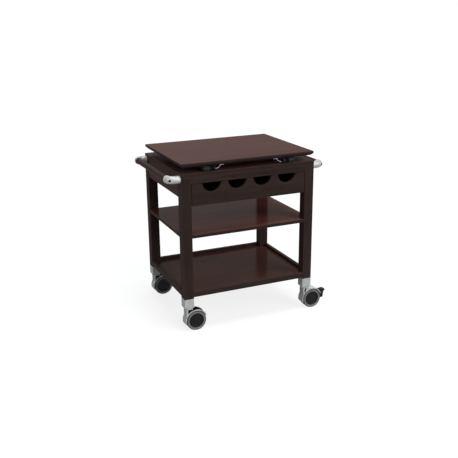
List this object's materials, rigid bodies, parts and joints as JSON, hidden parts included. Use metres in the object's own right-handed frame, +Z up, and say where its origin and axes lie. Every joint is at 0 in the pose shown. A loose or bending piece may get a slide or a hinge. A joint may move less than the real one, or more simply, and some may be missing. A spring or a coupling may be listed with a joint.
{
  "type": "serving trolley",
  "caption": "Dark wooden serving trolley on braked twin-wheel castors, with a fold-over top, a bottle drawer, two shelves and round side handles.",
  "frame": {"origin": "on the floor, midway between the four legs", "axes": "+Z up, +X to the right along the width, +Y to the back along the depth; the drawer opens towards -Y"},
  "size_m": [0.8514, 0.547, 0.828],
  "materials": {
    "dark_wood": "satin wenge stain",
    "cast_silver": "satin silver",
    "steel": "satin",
    "chrome": "polished",
    "black_metal": "satin black",
    "hinge_grey": "satin dark grey",
    "pad_rubber": "matt",
    "tyre_grey": "matt",
    "hub_black": "matt",
    "pedal_black": "satin",
    "nylon": "matt"
  },
  "bodies": {
    "root": {"leg_front_left": "dark_wood", "leg_front_right": "dark_wood", "leg_back_left": "dark_wood", "leg_back_right": "dark_wood", "side_apron_left": "dark_wood", "side_apron_right": "dark_wood", "back_apron": "dark_wood", "front_rail": "dark_wood", "fixed_top": "dark_wood", "middle_shelf": "dark_wood", "lower_panel": "dark_wood", "lower_rail_front": "dark_wood", "lower_rail_back": "dark_wood", "lower_rail_left": "dark_wood", "lower_rail_right": "dark_wood", "handle_bar_left": "dark_wood", "handle_bar_right": "dark_wood", "drawer_runner_left": "dark_wood", "drawer_runner_right": "dark_wood", "elbow_front_left": "cast_silver", "elbow_front_right": "cast_silver", "elbow_back_left": "cast_silver", "elbow_back_right": "cast_silver", "castor_sockets": "cast_silver", "elbow_studs": "steel", "castor_stems": "steel", "hinge_pins": "steel", "bar_bolts": "black_metal", "hinge_base_left": "hinge_grey", "hinge_base_right": "hinge_grey", "leaf_pads": "pad_rubber", "swivel_washers": "nylon"},
    "drawer": {"drawer_front": "dark_wood", "drawer_side_left": "dark_wood", "drawer_side_right": "dark_wood", "drawer_back": "dark_wood", "drawer_bottom": "dark_wood"},
    "leaf": {"folding_leaf": "dark_wood", "hinge_arm_left": "black_metal", "hinge_arm_right": "black_metal", "leaf_springs": "chrome"},
    "swivel_front_left": {"housing_front_left": "cast_silver", "axle_front_left": "steel"},
    "wheels_front_left": {"hubs_front_left": "hub_black", "tyres_front_left": "tyre_grey"},
    "swivel_front_right": {"housing_front_right": "cast_silver", "axle_front_right": "steel"},
    "wheels_front_right": {"hubs_front_right": "hub_black", "tyres_front_right": "tyre_grey"},
    "swivel_back_left": {"housing_back_left": "cast_silver", "axle_back_left": "steel"},
    "wheels_back_left": {"hubs_back_left": "hub_black", "tyres_back_left": "tyre_grey"},
    "swivel_back_right": {"housing_back_right": "cast_silver", "axle_back_right": "steel"},
    "wheels_back_right": {"hubs_back_right": "hub_black", "tyres_back_right": "tyre_grey"},
    "pedal_front": {"brake_pedal_front": "pedal_black"},
    "pedal_back": {"brake_pedal_back": "pedal_black"}
  },
  "joints": [
    {"name": "drawer_slide", "type": "slide", "parent": "root", "child": "drawer", "axis": [0, -1, 0], "range_m": [0, 0.3]},
    {"name": "leaf_hinge", "type": "hinge", "parent": "root", "child": "leaf", "pos_m": [0, -0.2705, 0.795], "axis": [1, 0, 0], "range_deg": [0, 180]},
    {"name": "swivel_front_left", "type": "hinge", "parent": "root", "child": "swivel_front_left", "pos_m": [-0.321, -0.246, 0.12], "axis": [0, 0, 1], "continuous": true},
    {"name": "roll_front_left", "type": "hinge", "parent": "swivel_front_left", "child": "wheels_front_left", "pos_m": [-0.285, -0.246, 0.05], "axis": [0, 1, 0], "continuous": true},
    {"name": "swivel_front_right", "type": "hinge", "parent": "root", "child": "swivel_front_right", "pos_m": [0.321, -0.246, 0.12], "axis": [0, 0, 1], "continuous": true},
    {"name": "roll_front_right", "type": "hinge", "parent": "swivel_front_right", "child": "wheels_front_right", "pos_m": [0.357, -0.246, 0.05], "axis": [0, 1, 0], "continuous": true},
    {"name": "swivel_back_left", "type": "hinge", "parent": "root", "child": "swivel_back_left", "pos_m": [-0.321, 0.246, 0.12], "axis": [0, 0, 1], "continuous": true},
    {"name": "roll_back_left", "type": "hinge", "parent": "swivel_back_left", "child": "wheels_back_left", "pos_m": [-0.285, 0.246, 0.05], "axis": [0, 1, 0], "continuous": true},
    {"name": "swivel_back_right", "type": "hinge", "parent": "root", "child": "swivel_back_right", "pos_m": [0.321, 0.246, 0.12], "axis": [0, 0, 1], "continuous": true},
    {"name": "roll_back_right", "type": "hinge", "parent": "swivel_back_right", "child": "wheels_back_right", "pos_m": [0.357, 0.246, 0.05], "axis": [0, 1, 0], "continuous": true},
    {"name": "brake_front", "type": "hinge", "parent": "swivel_front_right", "child": "pedal_front", "pos_m": [0.41336, -0.246, 0.0795], "axis": [0, -1, 0], "range_deg": [0, 25]},
    {"name": "brake_back", "type": "hinge", "parent": "swivel_back_right", "child": "pedal_back", "pos_m": [0.41336, 0.246, 0.0795], "axis": [0, -1, 0], "range_deg": [0, 25]}
  ]
}
